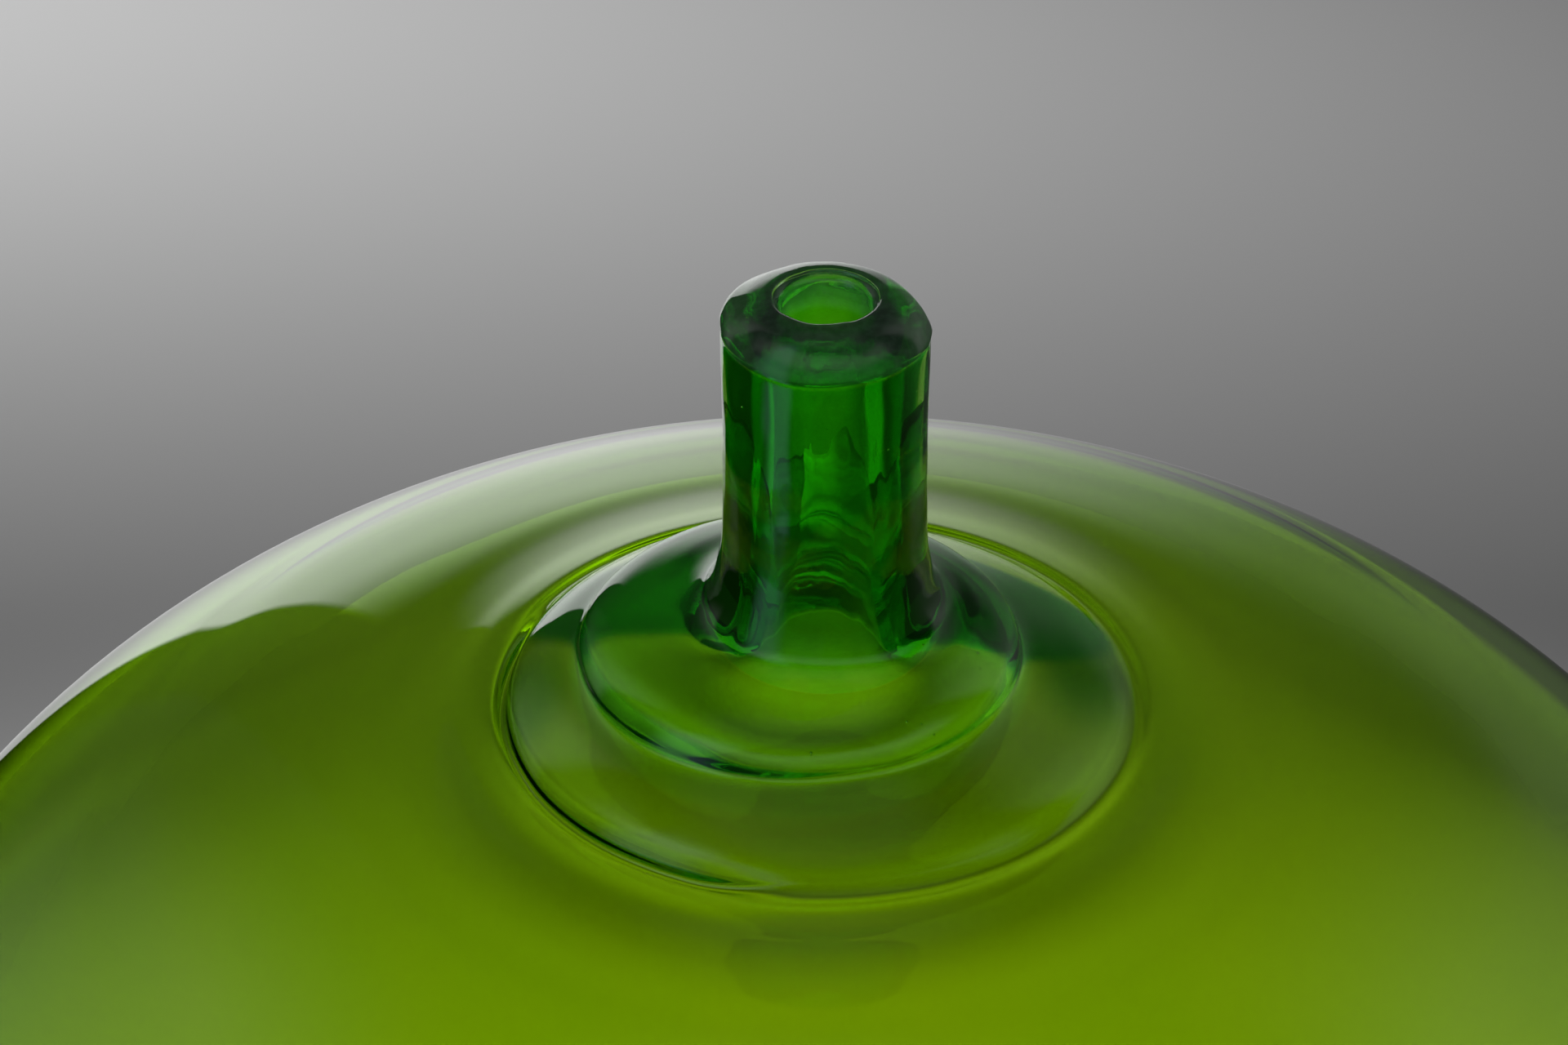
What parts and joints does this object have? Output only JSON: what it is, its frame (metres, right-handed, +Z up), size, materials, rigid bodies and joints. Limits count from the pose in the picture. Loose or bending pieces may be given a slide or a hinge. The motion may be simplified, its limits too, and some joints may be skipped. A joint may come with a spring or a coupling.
{
  "type": "glass vase",
  "caption": "Large blown globe vase in cased green glass, with a small thick-walled neck standing in a shallow dimple like a stem.",
  "frame": {"origin": "on the floor, under the middle of the foot ring", "axes": "+Z up through the middle of the neck; the vase is turned about +Z, so +X and +Y are alike"},
  "size_m": [0.35, 0.35, 0.375],
  "materials": {
    "clear_casing_glass": "clear outer glass of the globe, fire polished, faint yellow-green",
    "apple_green_glass": "transparent apple-green glass, smooth",
    "clear_collar_glass": "thick clear glass at the foot of the neck, fire polished",
    "clear_neck_glass": "thick clear glass around the neck, fire polished",
    "emerald_core_glass": "deep emerald-green glass around the bore",
    "dark_lip_glass": "deep green glass of the lip, ground and polished at the mouth"
  },
  "bodies": {
    "root": {"globe_casing": "clear_casing_glass", "globe_lining": "apple_green_glass", "neck_collar": "clear_collar_glass", "neck_casing": "clear_neck_glass", "neck_core": "emerald_core_glass", "lip_ring": "dark_lip_glass"}
  },
  "joints": []
}
